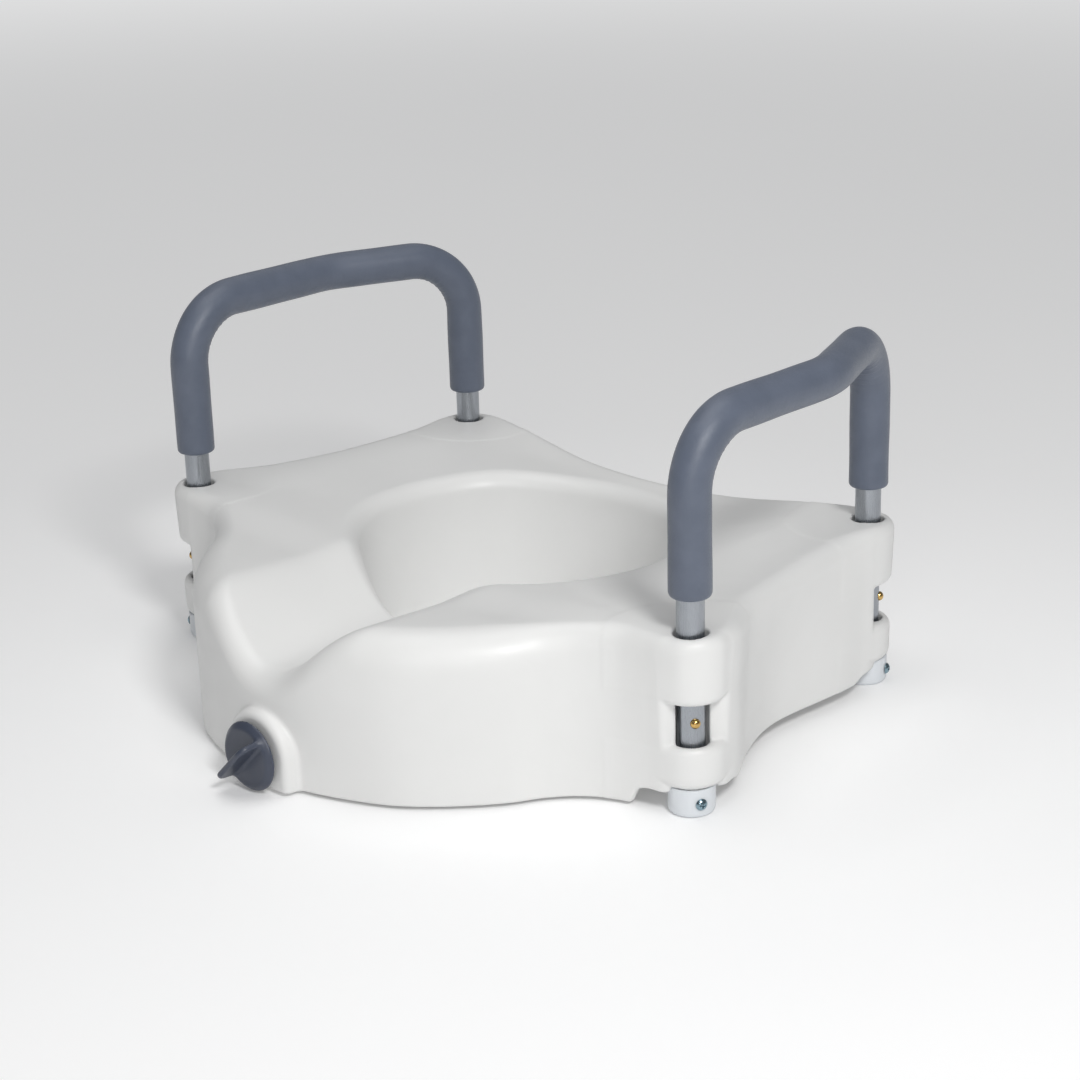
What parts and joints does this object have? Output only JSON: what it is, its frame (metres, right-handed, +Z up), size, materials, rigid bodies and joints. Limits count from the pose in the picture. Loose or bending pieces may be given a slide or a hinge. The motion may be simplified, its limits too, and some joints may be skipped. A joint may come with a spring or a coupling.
{
  "type": "raised toilet seat",
  "caption": "White raised toilet seat with a round opening, front scoop, removable padded arms on snap buttons and a front knob that clamps it to the bowl.",
  "frame": {"origin": "middle of the overall box in plan, at the foot of the leg socket caps", "axes": "+X to the right as seen from the front, +Y to the back, +Z up; the user faces -Y"},
  "size_m": [0.5472, 0.4696, 0.283],
  "materials": {
    "white_shell": "satin blow-moulded polyethylene",
    "cap_plastic": "satin injection-moulded",
    "tube": "satin anodised",
    "grip_foam": "soft closed-cell foam with a slight sheen",
    "knob_plastic": "fine matt",
    "button_brass": "polished",
    "spring_steel": "plain",
    "zinc": "blue zinc plate"
  },
  "bodies": {
    "shell": {"seat_shell": "white_shell", "left_front_socket_cap": "cap_plastic", "right_front_socket_cap": "cap_plastic", "left_rear_socket_cap": "cap_plastic", "right_rear_socket_cap": "cap_plastic", "left_front_cap_screw": "zinc", "right_front_cap_screw": "zinc", "left_rear_cap_screw": "zinc", "right_rear_cap_screw": "zinc"},
    "left_arm": {"left_arm_tube": "tube", "left_foam_grip": "grip_foam", "left_front_button_spring": "spring_steel", "left_rear_button_spring": "spring_steel"},
    "right_arm": {"right_arm_tube": "tube", "right_foam_grip": "grip_foam", "right_front_button_spring": "spring_steel", "right_rear_button_spring": "spring_steel"},
    "left_front_button": {"left_front_snap_button": "button_brass"},
    "right_front_button": {"right_front_snap_button": "button_brass"},
    "left_rear_button": {"left_rear_snap_button": "button_brass"},
    "right_rear_button": {"right_rear_snap_button": "button_brass"},
    "knob": {"clamp_knob": "knob_plastic", "worm_screw": "zinc", "screw_retainer": "spring_steel"},
    "clamp": {"clamp_plate": "cap_plastic", "clamp_nut": "zinc"}
  },
  "joints": [
    {"name": "left_arm_lift", "type": "slide", "parent": "shell", "child": "left_arm", "axis": [0, 0, 1], "range_m": [0, 0.13], "deforming": ["left_front_snap_button", "left_rear_snap_button"]},
    {"name": "right_arm_lift", "type": "slide", "parent": "shell", "child": "right_arm", "axis": [0, 0, 1], "range_m": [0, 0.13], "deforming": ["right_front_snap_button", "right_rear_snap_button"]},
    {"name": "left_front_button_press", "type": "slide", "parent": "left_arm", "child": "left_front_button", "axis": [0.8387, 0.5446, 0], "range_m": [0, 0.0032], "stiffness_N_per_m": 1200, "springref_m": -0.003, "deforming": ["left_front_button_spring"]},
    {"name": "right_front_button_press", "type": "slide", "parent": "right_arm", "child": "right_front_button", "axis": [-0.8387, 0.5446, 0], "range_m": [0, 0.0032], "stiffness_N_per_m": 1200, "springref_m": -0.003, "deforming": ["right_front_button_spring"]},
    {"name": "left_rear_button_press", "type": "slide", "parent": "left_arm", "child": "left_rear_button", "axis": [0.766, -0.6428, 0], "range_m": [0, 0.0032], "stiffness_N_per_m": 1200, "springref_m": -0.003, "deforming": ["left_rear_button_spring"]},
    {"name": "right_rear_button_press", "type": "slide", "parent": "right_arm", "child": "right_rear_button", "axis": [-0.766, -0.6428, 0], "range_m": [0, 0.0032], "stiffness_N_per_m": 1200, "springref_m": -0.003, "deforming": ["right_rear_button_spring"]},
    {"name": "knob_turn", "type": "hinge", "parent": "shell", "child": "knob", "pos_m": [0, -0.21377, 0.0256], "axis": [0, 1, 0], "range_deg": [0, 1440]},
    {"name": "clamp_travel", "type": "slide", "parent": "shell", "child": "clamp", "axis": [0, 1, 0], "range_m": [0, 0.0241]}
  ],
  "couplings": [
    {"joint": "clamp_travel", "follows": "knob_turn", "m_per_rad": 0.00095493}
  ]
}
